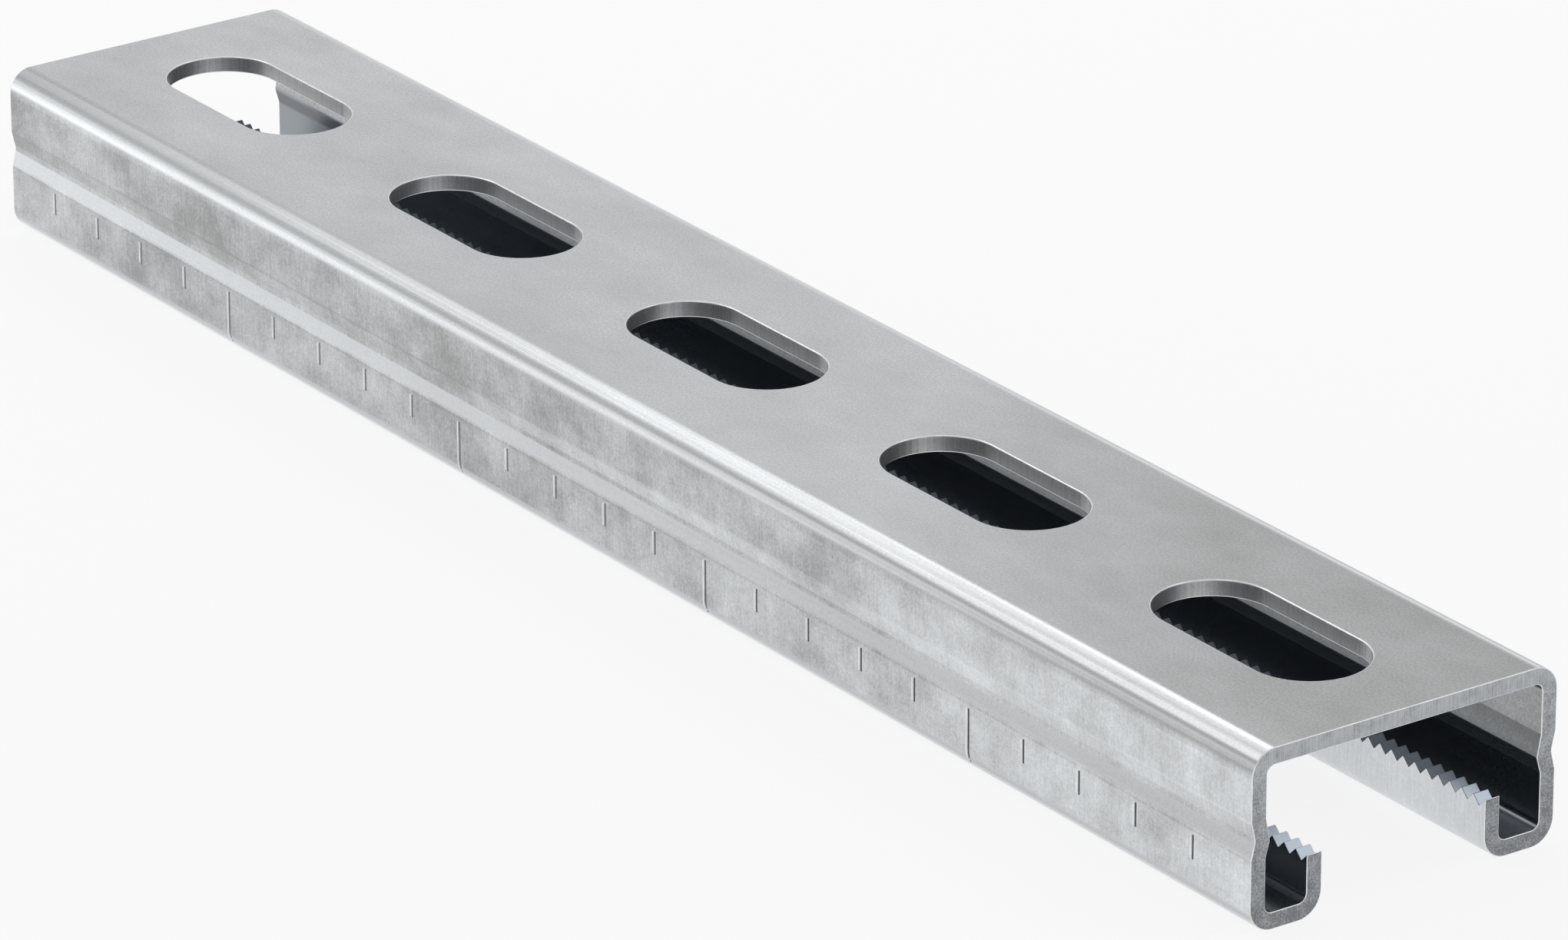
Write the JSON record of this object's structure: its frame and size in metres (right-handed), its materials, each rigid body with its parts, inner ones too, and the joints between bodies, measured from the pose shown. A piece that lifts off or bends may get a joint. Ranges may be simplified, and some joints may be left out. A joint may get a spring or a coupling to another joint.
{
  "type": "strut channel",
  "caption": "Slotted steel strut channel: a roll-formed C section with slots along its back, grooved side walls and toothed inturned lips.",
  "frame": {"origin": "middle of the footprint, on the surface that the lip bends rest on", "axes": "+X along the channel, +Z from the mouth to the back; the scale marks are on the -Y side wall"},
  "size_m": [0.25, 0.041, 0.021],
  "materials": {
    "zinc_coated_steel": "zinc-coated steel strip with a satin grain, bright along the bends, its cut ends and punched edges a darker grey"
  },
  "bodies": {
    "root": {"channel": "zinc_coated_steel"}
  },
  "joints": []
}
